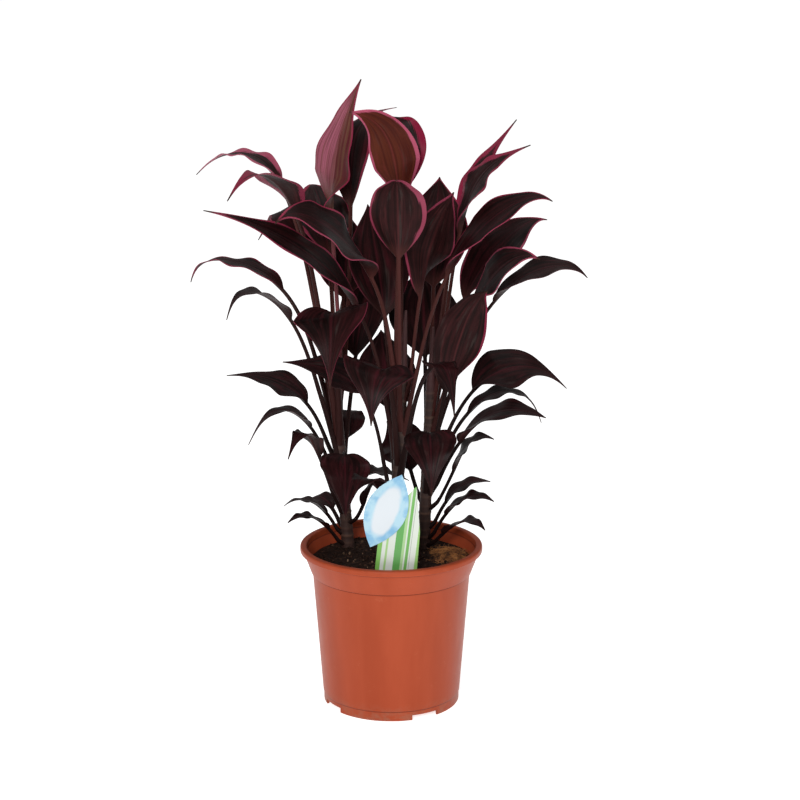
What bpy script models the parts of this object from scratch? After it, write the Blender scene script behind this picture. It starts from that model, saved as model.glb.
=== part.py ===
"""Ti plant: three canes with strap-stalked leaves, in a 14 cm nursery pot with soil and a plant label.

Metres, +Z up. The origin is the middle of the pot's underside, and -Y is the side that shows the label.
The leaf list is in millimetres and degrees, chosen leaf by leaf.
"""

import math
from collections import namedtuple

import bmesh
import bpy
from mathutils import Matrix, Vector, noise

MM = 0.001
GAP = 0.3 * MM  # between neighbouring pieces

# Pot, all radii to the outside unless named otherwise
RIM_RADIUS = 70 * MM
POT_HEIGHT = 125 * MM
LIP_HEIGHT = 4.7 * MM
BAND_TOP_RADIUS = 67.6 * MM
BAND_FOOT_RADIUS = 61.4 * MM
BAND_FOOT = 103.6 * MM
BASE_RADIUS = 53 * MM
WALL_FLARE = 0.072  # how much the wall opens per unit of height
BAND_STEP = 0.9 * MM
WALL = 1.6 * MM
FOOT_BAND = 8 * MM
FOOT_STEP = 0.5 * MM
DISH_RADIUS = 30 * MM  # the middle of the base, which stands on the ground
CHANNEL_HEIGHT = 5 * MM  # the drain channel round it
FOOT_RING = 2.6 * MM
ROUND_OVER = 1.3 * MM  # at the top of the lip
NOTCH = (12 * MM, 22 * MM, 4.1 * MM)  # through the foot, along it, and its height
NOTCH_TURNS = (30, 120, 210, 300)
DRAIN_RADIUS = 3.5 * MM
DRAIN_CIRCLE = 41 * MM
DRAINS = 8
DRAIN_SIDES = 10
POT_STEPS = 48
PAST = 1 * MM  # how far a cutter reaches past the face that it cuts

# Soil
SOIL_TOP = 112 * MM
SOIL_DOME = 2.2 * MM
CRUMB = 1.5 * MM
CRUMB_PITCH = 7 * MM
CRUMB_SLICE = 3.1  # which slice of the noise the crumbs come from
CRUMB_FADE = 6  # how fast the crumbs come in from the wall
SOIL_STEPS = 36
SOIL_RINGS = 8
HOLE_ABOVE = 15 * MM  # how far the cutters of the holes stand out of the soil
HOLE_SIDES = 12
SLOT = (34 * MM, 60 * MM)  # width and height of the cutter that the card stands in

# Coir left on the soil
COIR_PLACE = (43 * MM, 8 * MM)
COIR_HALF = (14 * MM, 20 * MM)
COIR_FLAT = SOIL_TOP + 0.4 * MM
COIR_HEIGHT = 5 * MM
COIR_EDGE = 0.6 * MM
COIR_LEVEL = 2.5  # the soil starts to level at this many half sizes from the coir
OUTLINE_LUMP = (0.22, 2.3)  # depth and frequency of the tuft's uneven outline
TOP_LUMP = (0.5, 5.1)  # the same for its top

# Plant label: a card that stands in the soil, with a pointed oval head on its face
CARD_Y = -53 * MM
CARD_THICK = 0.6 * MM
CARD_OUTLINE = [
    (-6, 72), (8, 72), (18, 104), (21.5, 150), (19, 186), (4, 168), (-9, 148), (-12, 122), (-11, 104)
]
HEAD_CENTRE = (-3.6, 166.8)
HEAD_LENGTH = 60.5
HEAD_WIDTH = 31
HEAD_LEAN = 23
HEAD_STEPS = 10

# Canes: foot on the soil, where the leaves end, radius at the foot and at the top, all in mm
Cane = namedtuple("Cane", "foot top foot_radius top_radius")
CANES = {
    "left": Cane((-34, 30, 112), (-42, 20, 236), 5.0, 3.6),
    "centre": Cane((2, -20, 112), (9, -8, 262), 5.5, 3.6),
    "right": Cane((25, 26, 112), (30, 16, 246), 5.0, 3.6),
}
CANE_DEPTH = 45  # below the soil
CANE_RESOLUTION = 3
STRAIGHTS = 6
SPEAR = 46  # the furled leaf above the last foot
SPEAR_MIDDLE = 0.6  # its radius halfway, as a share of the cane's
SPEAR_RADIUS = 0.9

# Leaves. A midrib is a curve in the upright plane through the cane and the tip.
# rise: angle at which it leaves the cane. lift: how far it holds that line, as a share of foot to tip.
# dive: angle below level at the tip. run: the share of foot to tip that is drawn out along the dive.
# width: the blade's. stalk: the share of the curve that is leaf stalk. roll: how far the blade leans.
# pull: how hard the midrib keeps to its stalk's line before it bends over, 1 where the row leaves it out.
Leaf = namedtuple("Leaf", "name cane foot tip rise lift dive run width stalk roll pull", defaults=[1])
LEAVES = [Leaf(*row) for row in (
    ("left_01", "left", 116, (-80, 8, 139), 62, .50, 40, .36, 20, .25, 0),
    ("left_02", "left", 124, (-84, 26, 147), 70, .58, 45, .36, 22, .25, 8),
    ("left_03", "left", 128, (-66, 60, 142), 62, .58, 45, .36, 20, .28, -6),
    ("left_04", "left", 134, (-5, 12, 172), 52, .50, 12, .36, 18, .28, 0),
    ("left_05", "left", 152, (-34, -40, 156), 84, 1.0, 84, .70, 40, .52, -16, 2),
    ("left_06", "left", 142, (-78, -12, 195), 70, .90, 66, .45, 26, .26, 0, 2),
    ("left_07", "left", 160, (14, 40, 164), 62, .50, 28, .36, 28, .30, 0),
    ("left_08", "left", 166, (-109, 5, 202), 74, .74, 64, .52, 28, .24, 0, 3),
    ("left_09", "left", 176, (-128, 46, 247), 76, .54, 8, .27, 34, .28, -14, 3),
    ("left_10", "left", 188, (-122, -16, 303), 78, .87, 74, .22, 34, .28, 0, 4),
    ("left_11", "left", 194, (-158, 82, 314), 80, .80, 74, .16, 30, .28, 0, 4),
    ("left_12", "left", 198, (-44, -64, 262), 82, 1.1, 84, .62, 58, .54, 15, 3),
    ("left_13", "left", 208, (-105, 92, 346), 78, .86, 50, .42, 44, .36, -15, 2),
    ("left_14", "left", 223, (-149, 56, 402), 82, .98, 46, .14, 38, .28, 0, 4),
    ("left_15", "left", 206, (-117, -48, 396), 83, .91, 52, .16, 42, .28, 2, 4),
    ("left_16", "left", 232, (-64, 98, 389), 88, .68, 12, .11, 46, .30, 0, 3),
    ("left_17", "left", 234, (-22, 8, 478), 92, .60, -62, .36, 44, .44, 70),
    ("left_18", "left", 227, (4, 90, 450), 80, .80, 0, .40, 36, .38, -10),
    ("left_19", "left", 215, (-31, 74, 366), 84, .62, -50, .20, 46, .44, 0),
    ("left_20", "left", 190, (-12, 60, 332), 82, .60, -60, .20, 44, .36, 0),
    ("left_21", "left", 172, (-30, 66, 214), 74, .60, 20, .36, 28, .34, 0),
    ("centre_01", "centre", 150, (-26, -66, 184), 72, .58, 62, .36, 28, .30, 0),
    ("centre_02", "centre", 158, (-80, -28, 274), 86, .71, -5, .18, 44, .26, -24, 3),
    ("centre_03", "centre", 192, (-14, -88, 240), 83, .94, 84, .60, 54, .50, -14, 2.5),
    ("centre_04", "centre", 196, (-135, -38, 388), 86, .55, -12, .20, 46, .26, -20, 3),
    ("centre_05", "centre", 224, (-82, -62, 382), 89, .63, 42, .13, 62, .26, -30, 4),
    ("centre_06", "centre", 240, (46, -14, 398), 86, .62, -60, .20, 46, .34, -50),
    ("centre_07", "centre", 214, (117, -34, 394), 83, .66, 32, .10, 46, .26, 24, 3),
    ("centre_08", "centre", 218, (4, -70, 414), 82, .40, -6, .18, 42, .54, 0),
    ("centre_09", "centre", 244, (6, 24, 447), 84, .70, 55, .08, 40, .42, 0, 1.5),
    ("centre_10", "centre", 252, (-30, -12, 456), 90, .62, -8, .24, 42, .40, -60),
    ("centre_11", "centre", 196, (-18, 50, 380), 80, .60, -60, .20, 48, .40, 0),
    ("centre_12", "centre", 182, (46, -78, 244), 79, .98, 82, .56, 29, .50, -10, 2.5),
    ("centre_13", "centre", 168, (-8, 42, 284), 74, .60, -60, .20, 46, .36, 0),
    ("right_01", "right", 116, (72, -5, 137), 50, .50, 45, .36, 24, .22, 0),
    ("right_02", "right", 122, (79, 5, 157), 68, .50, 30, .36, 24, .28, 6),
    ("right_03", "right", 130, (77, 26, 167), 70, .50, 15, .36, 22, .30, 6),
    ("right_04", "right", 160, (30, -54, 178), 80, .92, 84, .66, 40, .52, 4, 2),
    ("right_05", "right", 146, (79, 14, 204), 58, .50, 25, .36, 26, .34, 8),
    ("right_06", "right", 158, (116, -18, 229), 70, .56, 18, .36, 42, .30, 12),
    ("right_07", "right", 166, (117, 42, 210), 74, .74, 73, .43, 24, .28, 4, 2),
    ("right_08", "right", 176, (136, 40, 238), 73, .64, 46, .32, 50, .26, 26, 3),
    ("right_09", "right", 184, (70, -46, 330), 74, .47, -24, .20, 37, .30, -38),
    ("right_10", "right", 193, (146, -6, 333), 77, .76, 50, .12, 42, .30, 14, 3),
    ("right_11", "right", 206, (110, -12, 348), 78, .68, 24, .12, 50, .26, 30, 3),
    ("right_12", "right", 212, (121, 72, 365), 82, .58, 14, .12, 40, .26, 30, 3),
    ("right_13", "right", 222, (103, 8, 430), 85, .76, -22, .16, 44, .26, 22, 3),
    ("right_14", "right", 229, (98, 106, 439), 82, .68, -33, .20, 18, .30, 6, 3),
    ("right_15", "right", 242, (37, 58, 400), 86, .60, -60, .20, 52, .34, 0),
    ("right_16", "right", 184, (24, 84, 326), 80, .60, -60, .20, 56, .38, 0),
    ("right_17", "right", 150, (-4, 62, 206), 60, .50, -10, .30, 38, .28, -50),
)]
STALK_HALF = 1.35
STALK_FOOT_HALF = 2.0
STALK_THICK = 1.9
BLADE_THICK = 0.8
TIP_HALF = 0.6
BLADE_RISE = 0.8  # the outline is u ** rise * (1 - u) ** fall along the blade
BLADE_FALL = 1.35
T_STEP = 0.001  # either way along the midrib, to find its direction
FOLD_AT_STALK = 36
FOLD_AT_TIP = 5
FOLD_EASE = 7
ROLL_IN = 3  # the roll is reached in the first third of the blade
THIN_IN = 2.5  # the leaf is blade-thin past this much of it
STATIONS = 12
ACROSS = 4

SMOOTH_ANGLE = 35

YOUNG_ABOVE = 400  # tips above this height are on the pink young leaves
DARK_LEAF = (0.030, 0.012, 0.014, 1)
PINK_LEAF = (0.30, 0.045, 0.075, 1)


def collection(name):
    """A collection of the scene, made the first time that it is asked for."""
    group = bpy.data.collections.get(name)
    if group is None:
        group = bpy.data.collections.new(name)
        bpy.context.scene.collection.children.link(group)
    return group


def material(name, colour, roughness, metallic=0.0):
    """A plain surface of one colour."""
    surface = bpy.data.materials.get(name)
    if surface is None:
        surface = bpy.data.materials.new(name)
        surface.use_nodes = True
        shader = surface.node_tree.nodes["Principled BSDF"]
        shader.inputs["Base Color"].default_value = colour
        shader.inputs["Roughness"].default_value = roughness
        shader.inputs["Metallic"].default_value = metallic
    return surface


def add(name, data, surface=None, group="ti_plant"):
    """An object in its collection, with its finish."""
    piece = bpy.data.objects.new(name, data)
    collection(group).objects.link(piece)
    if surface:
        data.materials.append(surface)
    return piece


def mesh_from(bm, name):
    """The mesh of a bmesh, which is then freed."""
    mesh = bpy.data.meshes.new(name)
    bm.to_mesh(mesh)
    bm.free()
    return mesh


def as_mesh(piece):
    """Turns an object with live modifiers, or a curve, into a plain mesh object in the same place."""
    graph = bpy.context.evaluated_depsgraph_get()
    mesh = bpy.data.meshes.new_from_object(piece.evaluated_get(graph))
    bm = bmesh.new()
    bm.from_mesh(mesh)
    bmesh.ops.remove_doubles(bm, verts=bm.verts, dist=0.01 * MM)
    bm.to_mesh(mesh)
    bm.free()
    solid = bpy.data.objects.new(piece.name + "_solid", mesh)
    solid.matrix_world = piece.matrix_world
    for group in piece.users_collection:
        group.objects.link(solid)
    name = piece.name
    bpy.data.objects.remove(piece)
    solid.name = name
    return solid


def turned(name, profile, steps, surface, group="ti_plant"):
    """A turned solid: the profile (radius, height) goes round the Z axis."""
    bm = bmesh.new()
    points = [bm.verts.new((radius, 0, height)) for radius, height in profile]
    for first, second in zip(points, points[1:]):
        bm.edges.new((first, second))
    piece = add(name, mesh_from(bm, name), surface, group)
    screw = piece.modifiers.new("turn", "SCREW")
    screw.steps = steps
    screw.render_steps = steps
    screw.use_merge_vertices = True
    screw.merge_threshold = 0.01 * MM
    return piece


def cutter(name, bm, matrix):
    """A body that cuts another and isn't part of the plant."""
    piece = add(name, mesh_from(bm, name), None, "cutters")
    piece.matrix_world = matrix
    piece.hide_render = True
    piece.display_type = "WIRE"
    return piece


def cylinder(radius, depth, sides):
    """A closed cylinder round the origin."""
    bm = bmesh.new()
    bmesh.ops.create_cone(
        bm, cap_ends=True, segments=sides, radius1=radius, radius2=radius, depth=depth
    )
    return bm


def box(size):
    """A closed box round the origin."""
    bm = bmesh.new()
    bmesh.ops.create_cube(bm, size=1, matrix=Matrix.Diagonal((*size, 1)))
    return bm


def cut(piece, tool):
    """Takes the cutter out of the piece."""
    boolean = piece.modifiers.new(tool.name, "BOOLEAN")
    boolean.operation = "DIFFERENCE"
    boolean.solver = "EXACT"
    boolean.object = tool


def wall_radius(height):
    """Outside radius of the plain wall."""
    return BASE_RADIUS + WALL_FLARE * height


def inner_radius(height):
    """Inside radius of the pot: the plain wall, then the flared band, then the lip."""
    if height < BAND_FOOT:
        return wall_radius(height) - WALL
    share = (height - BAND_FOOT) / (POT_HEIGHT - LIP_HEIGHT - BAND_FOOT)
    return wall_radius(BAND_FOOT) - WALL + (BAND_TOP_RADIUS - BAND_FOOT_RADIUS) * min(share, 1)


def pot():
    """Thin-walled pot: dished base with a drain channel, foot band, wall, flared rim band and lip."""
    under_lip = POT_HEIGHT - LIP_HEIGHT
    channel_in = DISH_RADIUS + CHANNEL_HEIGHT * 0.6
    ring_in = BASE_RADIUS - FOOT_RING
    outside = [
        (inner_radius(POT_HEIGHT), POT_HEIGHT - ROUND_OVER / 2),
        (inner_radius(POT_HEIGHT) + ROUND_OVER / 2, POT_HEIGHT),
        (RIM_RADIUS - ROUND_OVER, POT_HEIGHT),
        (RIM_RADIUS - ROUND_OVER * 0.3, POT_HEIGHT - ROUND_OVER * 0.3),
        (RIM_RADIUS, POT_HEIGHT - ROUND_OVER),
        (RIM_RADIUS, under_lip + ROUND_OVER * 0.4),
        (RIM_RADIUS - ROUND_OVER * 0.4, under_lip),
        (BAND_TOP_RADIUS, under_lip),
        (BAND_FOOT_RADIUS, BAND_FOOT),
        (BAND_FOOT_RADIUS - BAND_STEP, BAND_FOOT),
        (wall_radius(FOOT_BAND) - FOOT_STEP, FOOT_BAND),
        (wall_radius(FOOT_BAND) - 2 * FOOT_STEP, FOOT_BAND - FOOT_STEP),
        (BASE_RADIUS - FOOT_STEP, FOOT_STEP),
        (BASE_RADIUS - 2 * FOOT_STEP, 0),
        (ring_in, 0),
        (ring_in - CHANNEL_HEIGHT * 0.2, CHANNEL_HEIGHT),
        (channel_in, CHANNEL_HEIGHT),
        (DISH_RADIUS, 0),
        (0, 0),
    ]
    floor = CHANNEL_HEIGHT + WALL
    inside = [
        (0, WALL),
        (DISH_RADIUS - WALL, WALL),
        (channel_in - WALL, floor),
        (inner_radius(floor) - WALL, floor),
        (inner_radius(floor + WALL), floor + WALL),
        (inner_radius(BAND_FOOT), BAND_FOOT),
        (inner_radius(under_lip), under_lip),
    ]
    plastic = material("pot_plastic", (0.48, 0.115, 0.045, 1), 0.45)
    piece = turned("pot", outside + inside + outside[:1], POT_STEPS, plastic)
    for turn in NOTCH_TURNS:
        low = Matrix.Translation((BASE_RADIUS, 0, (NOTCH[2] - PAST) / 2))
        place = Matrix.Rotation(math.radians(turn), 4, "Z") @ low
        cut(piece, cutter(f"notch_{turn}", box((NOTCH[0], NOTCH[1], NOTCH[2] + PAST)), place))
    for number in range(DRAINS):
        turn = 2 * math.pi * (number + 0.5) / DRAINS
        across, along = DRAIN_CIRCLE * math.cos(turn), DRAIN_CIRCLE * math.sin(turn)
        place = Matrix.Translation((across, along, CHANNEL_HEIGHT))
        through = 2 * (CHANNEL_HEIGHT + PAST)
        cut(piece, cutter(f"drain_{number}", cylinder(DRAIN_RADIUS, through, DRAIN_SIDES), place))
    return piece


def soil_height(x, y):
    """Top of the soil: a low dome with crumbs, flat where the coir lies and level at the wall."""
    radius = math.hypot(x, y) / inner_radius(SOIL_TOP)
    lump = noise.noise(Vector((x / CRUMB_PITCH, y / CRUMB_PITCH, CRUMB_SLICE)))
    middle = 1 - radius * radius
    height = SOIL_TOP + SOIL_DOME * middle + CRUMB * lump * min(1, CRUMB_FADE * middle)
    off = math.hypot((x - COIR_PLACE[0]) / COIR_HALF[0], (y - COIR_PLACE[1]) / COIR_HALF[1])
    near = max(0, min(1, COIR_LEVEL - off))
    return height * (1 - near) + (COIR_FLAT - GAP) * near


def soil():
    """The soil plug, with its crumbly top and the holes that the canes and the card stand in."""
    floor = CHANNEL_HEIGHT + WALL + GAP
    edge = inner_radius(SOIL_TOP) - GAP
    rings = [(edge * (SOIL_RINGS - ring) / SOIL_RINGS, SOIL_TOP) for ring in range(SOIL_RINGS + 1)]
    profile = rings[::-1] + [
        (inner_radius(BAND_FOOT) - GAP, BAND_FOOT),
        (inner_radius(floor + WALL) - 2 * GAP, floor + WALL),
        (inner_radius(floor) - WALL - GAP, floor),
        (0, floor),
    ]
    earth = material("soil", (0.035, 0.022, 0.016, 1), 0.95)
    piece = as_mesh(turned("soil", profile, SOIL_STEPS, earth))
    for vertex in piece.data.vertices:
        if vertex.co.z > SOIL_TOP - GAP:
            vertex.co.z = soil_height(vertex.co.x, vertex.co.y)
    for name, cane in CANES.items():
        low = cane_axis(cane, cane.foot[2] - CANE_DEPTH - 1)
        high = cane_axis(cane, cane.foot[2] + HOLE_ABOVE / MM)
        along = high - low
        place = Matrix.Translation((low + high) / 2) @ along.to_track_quat("Z", "Y").to_matrix().to_4x4()
        rod = cylinder(cane.foot_radius * MM + 2 * GAP, along.length, HOLE_SIDES)
        cut(piece, cutter(f"hole_{name}", rod, place))
    lowest = min(height for _, height in CARD_OUTLINE) * MM
    buried = [x for x, height in CARD_OUTLINE if height * MM < SOIL_TOP]
    middle = (min(buried) + max(buried)) / 2 * MM
    place = Matrix.Translation((middle, CARD_Y, lowest - GAP + SLOT[1] / 2))
    cut(piece, cutter("slot_card", box((SLOT[0], CARD_THICK + 2 * GAP, SLOT[1])), place))
    return piece


def coir():
    """A matted tuft of tan coir, lying flat on the soil."""
    bm = bmesh.new()
    bmesh.ops.create_icosphere(bm, subdivisions=3, radius=1)
    for vertex in bm.verts:
        ball = vertex.co.copy()
        spread = 1 + OUTLINE_LUMP[0] * noise.noise(ball * OUTLINE_LUMP[1])
        heap = max(ball.z, 0) * (0.75 + TOP_LUMP[0] * noise.noise(ball * TOP_LUMP[1]))
        vertex.co.x = COIR_PLACE[0] + COIR_HALF[0] * ball.x * spread
        vertex.co.y = COIR_PLACE[1] + COIR_HALF[1] * ball.y * spread
        vertex.co.z = COIR_FLAT + COIR_HEIGHT * heap + (COIR_EDGE if ball.z >= 0 else 0)
    return add("coir_tuft", mesh_from(bm, "coir_tuft"), material("coir", (0.33, 0.17, 0.075, 1), 0.95))


def outline_plate(name, points, thickness, surface, front):
    """A flat plate that faces -Y: points are (x, z) and front is the plane of its middle."""
    curve = bpy.data.curves.new(name, "CURVE")
    curve.dimensions = "2D"
    curve.fill_mode = "BOTH"
    curve.extrude = thickness / 2
    spline = curve.splines.new("POLY")
    spline.points.add(len(points) - 1)
    for point, (x, z) in zip(spline.points, points):
        point.co = (x, z, 0, 1)
    spline.use_cyclic_u = True
    piece = add(name, curve, surface)
    piece.matrix_world = Matrix.Translation((0, front, 0)) @ Matrix.Rotation(math.pi / 2, 4, "X")
    bpy.context.view_layer.update()
    return as_mesh(piece)


def label():
    """The card in the soil, and the pointed oval that is fixed to its face."""
    plastic = material("label_plastic", (0.85, 0.88, 0.84, 1), 0.35)
    outline = [(x * MM, z * MM) for x, z in CARD_OUTLINE]
    outline_plate("label_card", outline, CARD_THICK, plastic, CARD_Y)
    lean = math.radians(HEAD_LEAN)
    points = []
    for side in (1, -1):
        for step in range(HEAD_STEPS):
            along = -side * math.cos(math.pi * step / HEAD_STEPS) * HEAD_LENGTH / 2
            across = side * HEAD_WIDTH / 2 * (1 - (2 * along / HEAD_LENGTH) ** 2)
            x = HEAD_CENTRE[0] + across * math.cos(lean) + along * math.sin(lean)
            z = HEAD_CENTRE[1] + along * math.cos(lean) - across * math.sin(lean)
            points.append((x * MM, z * MM))
    blue = material("label_blue", (0.45, 0.68, 0.85, 1), 0.35)
    outline_plate("label_head", points, CARD_THICK, blue, CARD_Y - CARD_THICK - GAP)


def cane_axis(cane, height):
    """The cane's axis at a height, given in mm."""
    share = (height - cane.foot[2]) / (cane.top[2] - cane.foot[2])
    return Vector(cane.foot).lerp(Vector(cane.top), share) * MM


def cane_radius(cane, height):
    """The cane's radius at a height, both in mm."""
    share = (height - cane.foot[2]) / (cane.top[2] - cane.foot[2])
    return cane.foot_radius + (cane.top_radius - cane.foot_radius) * max(0, min(1, share))


def cane_body(name, cane):
    """A woody cane with its foot in the soil, drawn out at the top into the furled young leaf."""
    curve = bpy.data.curves.new(f"cane_{name}", "CURVE")
    curve.dimensions = "3D"
    curve.bevel_depth = 1 * MM
    curve.bevel_resolution = CANE_RESOLUTION
    curve.use_fill_caps = True
    low, high = cane.foot[2] - CANE_DEPTH, cane.top[2]
    stations = [low + (high - low) * step / STRAIGHTS for step in range(STRAIGHTS + 1)]
    radii = [cane_radius(cane, height) for height in stations]
    stations += [high + SPEAR / 2, high + SPEAR]
    radii += [cane.top_radius * SPEAR_MIDDLE, SPEAR_RADIUS]
    spline = curve.splines.new("POLY")
    spline.points.add(len(stations) - 1)
    for point, height, radius in zip(spline.points, stations, radii):
        point.co = (*cane_axis(cane, height), 1)
        point.radius = radius
    piece = add(f"cane_{name}", curve, material("cane_bark", (0.12, 0.055, 0.045, 1), 0.7))
    bpy.context.view_layer.update()
    return as_mesh(piece)


def foot_distance(radius):
    """How far from a cane's axis a leaf starts, in mm, so that its two folded edges clasp the bark."""
    fold = math.radians(FOLD_AT_STALK)
    across, up = STALK_FOOT_HALF * math.cos(fold), STALK_FOOT_HALF * math.sin(fold)
    return math.sqrt((radius + GAP / MM) ** 2 - across**2) + up


def midrib(leaf):
    """The four control points of a midrib as (distance from the cane's axis, height), in mm."""
    cane = CANES[leaf.cane]
    axis = cane_axis(cane, leaf.foot) / MM
    start = foot_distance(cane_radius(cane, leaf.foot))
    reach = math.hypot(leaf.tip[0] - axis.x, leaf.tip[1] - axis.y)
    span = math.hypot(reach - start, leaf.tip[2] - leaf.foot)
    rise, dive = math.radians(leaf.rise), math.radians(leaf.dive)
    return [
        (start, leaf.foot),
        (start + leaf.lift * span * math.cos(rise), leaf.foot + leaf.lift * span * math.sin(rise)),
        (reach - leaf.run * span * math.cos(dive), leaf.tip[2] + leaf.run * span * math.sin(dive)),
        (reach, leaf.tip[2]),
    ]


def curve_place(points, pull, t):
    """A place at t from 0 to 1 on a cubic curve that pull draws towards its two middle points."""
    s = 1 - t
    shares = (s**3, 3 * pull * s * s * t, 3 * pull * s * t * t, t**3)
    place = sum((Vector(point) * share for point, share in zip(points, shares)), Vector((0, 0)))
    return place / sum(shares)


def on_curve(points, pull, t):
    """Place and direction on such a curve at t from 0 to 1."""
    ahead = curve_place(points, pull, min(1, t + T_STEP))
    behind = curve_place(points, pull, max(0, t - T_STEP))
    return curve_place(points, pull, t), (ahead - behind).normalized()


def half_width(leaf, t):
    """Half the leaf's width at t: a clasping foot, a narrow stalk, then a pointed blade."""
    if t < leaf.stalk:
        return STALK_HALF + (STALK_FOOT_HALF - STALK_HALF) * (1 - t / leaf.stalk) ** 3
    u = (t - leaf.stalk) / (1 - leaf.stalk)
    top = BLADE_RISE / (BLADE_RISE + BLADE_FALL)
    peak = top**BLADE_RISE * (1 - top) ** BLADE_FALL
    blade = (leaf.width / 2 - STALK_HALF) * u**BLADE_RISE * (1 - u) ** BLADE_FALL / peak
    return STALK_HALF + (TIP_HALF - STALK_HALF) * u + blade


def leaf_point(leaf, t, side):
    """A point of the leaf's upper face: t along the midrib, side from -1 to 1 across it."""
    cane = CANES[leaf.cane]
    axis = cane_axis(cane, leaf.foot) / MM
    heading = math.atan2(leaf.tip[1] - axis.y, leaf.tip[0] - axis.x)
    place, along = on_curve(midrib(leaf), leaf.pull, t)
    u = max(0, (t - leaf.stalk) / (1 - leaf.stalk))
    fold = math.radians(FOLD_AT_TIP + (FOLD_AT_STALK - FOLD_AT_TIP) * (1 - u) ** FOLD_EASE)
    width = half_width(leaf, t) * side
    across, up = width * math.cos(fold), abs(width) * math.sin(fold)
    roll = math.radians(leaf.roll) * min(1, ROLL_IN * u)
    across, up = across * math.cos(roll) - up * math.sin(roll), across * math.sin(roll) + up * math.cos(roll)
    radius = place.x - along.y * up
    return Vector(
        (
            axis.x + radius * math.cos(heading) - across * math.sin(heading),
            axis.y + radius * math.sin(heading) + across * math.cos(heading),
            place.y + along.x * up,
        )
    )


def leaf_body(leaf, surface):
    """One leaf: a grid shaped along its midrib, split into triangles and given its thickness."""
    bm = bmesh.new()
    bmesh.ops.create_grid(bm, x_segments=STATIONS, y_segments=ACROSS, size=1)
    bm.verts.index_update()
    stalk_share = {}
    for vertex in bm.verts:
        t, side = (vertex.co.x + 1) / 2, vertex.co.y
        u = max(0, (t - leaf.stalk) / (1 - leaf.stalk))
        stalk_share[vertex.index] = max(BLADE_THICK / STALK_THICK, 1 - THIN_IN * u)
        vertex.co = leaf_point(leaf, t, side) * MM
    bmesh.ops.triangulate(bm, faces=bm.faces)
    name = f"leaf_{leaf.name}"
    piece = add(name, mesh_from(bm, name), surface)
    thickness = piece.vertex_groups.new(name="thickness")
    for index, share in stalk_share.items():
        thickness.add([index], share, "REPLACE")
    solidify = piece.modifiers.new("thickness", "SOLIDIFY")
    solidify.thickness = STALK_THICK * MM
    solidify.vertex_group = "thickness"
    solidify.offset = -1
    return piece


def main():
    for piece in list(bpy.data.objects):
        bpy.data.objects.remove(piece)
    pot()
    soil()
    coir()
    label()
    for name, cane in CANES.items():
        cane_body(name, cane)
    dark = material("leaf_dark", DARK_LEAF, 0.35)
    young = material("leaf_young", PINK_LEAF, 0.35)
    for leaf in LEAVES:
        leaf_body(leaf, young if leaf.tip[2] > YOUNG_ABOVE else dark)
    for piece in collection("ti_plant").objects:
        piece.data.shade_smooth()
        piece.data.set_sharp_from_angle(angle=math.radians(SMOOTH_ANGLE))


main()
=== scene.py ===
"""Looks of the ti plant: waved leaves with pink margins, barked canes, moulded pot, soil, coir and label.

Metres, +Z up, in the frame's own coordinates. The leaf and cane lists repeat those of the construction, in
millimetres and degrees, because each finer leaf follows the same midrib as the solid that it stands for.
"""

import math
import random
from collections import namedtuple

import bpy
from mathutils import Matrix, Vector, noise


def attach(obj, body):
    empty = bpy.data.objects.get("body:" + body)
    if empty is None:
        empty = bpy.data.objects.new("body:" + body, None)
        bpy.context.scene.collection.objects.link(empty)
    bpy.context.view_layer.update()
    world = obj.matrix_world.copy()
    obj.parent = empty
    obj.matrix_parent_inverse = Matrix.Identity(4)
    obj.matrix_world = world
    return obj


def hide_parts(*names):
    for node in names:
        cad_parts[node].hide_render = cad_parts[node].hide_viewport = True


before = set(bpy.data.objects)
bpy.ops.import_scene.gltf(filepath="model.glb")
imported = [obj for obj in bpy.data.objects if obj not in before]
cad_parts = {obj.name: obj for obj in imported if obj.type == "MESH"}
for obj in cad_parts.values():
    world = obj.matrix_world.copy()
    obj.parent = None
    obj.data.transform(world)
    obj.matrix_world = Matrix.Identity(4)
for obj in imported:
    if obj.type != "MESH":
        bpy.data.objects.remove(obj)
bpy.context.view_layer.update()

MM = 0.001
BODY = "root"
TURN = 6.28  # radians, for random phases and turns


def colour(red, green, blue):
    return (red, green, blue, 1)


# Pot
RIM_RADIUS = 70 * MM
POT_HEIGHT = 125 * MM
LIP_HEIGHT = 4.7 * MM
BAND_TOP_RADIUS = 67.6 * MM
BAND_FOOT_RADIUS = 61.4 * MM
BAND_FOOT = 103.6 * MM
BASE_RADIUS = 53 * MM
WALL_FLARE = 0.072
BAND_STEP = 0.9 * MM
WALL = 1.6 * MM
FOOT_BAND = 8 * MM
FOOT_STEP = 0.5 * MM
DISH_RADIUS = 30 * MM
CHANNEL_HEIGHT = 5 * MM
FOOT_RING = 2.6 * MM
NOTCH = (12 * MM, 22 * MM, 4.1 * MM)
NOTCH_TURNS = (30, 120, 210, 300)
DRAIN_RADIUS = 3.5 * MM
DRAIN_CIRCLE = 41 * MM
DRAINS = 8
DRAIN_SIDES = 40
POT_SIDES = 160
LIP_ROUND = 1.3 * MM
SOFT_EDGE = 0.35 * MM
SOFT_EDGE_ANGLE = 18
STEP_SHADE_HEIGHT = 0.45 * MM  # height of the painted shade under each step of the wall
DUST_HEIGHT = 0.016
PLASTIC = (colour(0.292, 0.046, 0.0155), colour(0.342, 0.058, 0.0215))
SCUFF = colour(0.42, 0.11, 0.055)
DUST = colour(0.24, 0.13, 0.085)
# painted shade: colour of the dark line under each step of the pot's wall
STEP_SHADE = colour(0.11, 0.016, 0.006)

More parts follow.
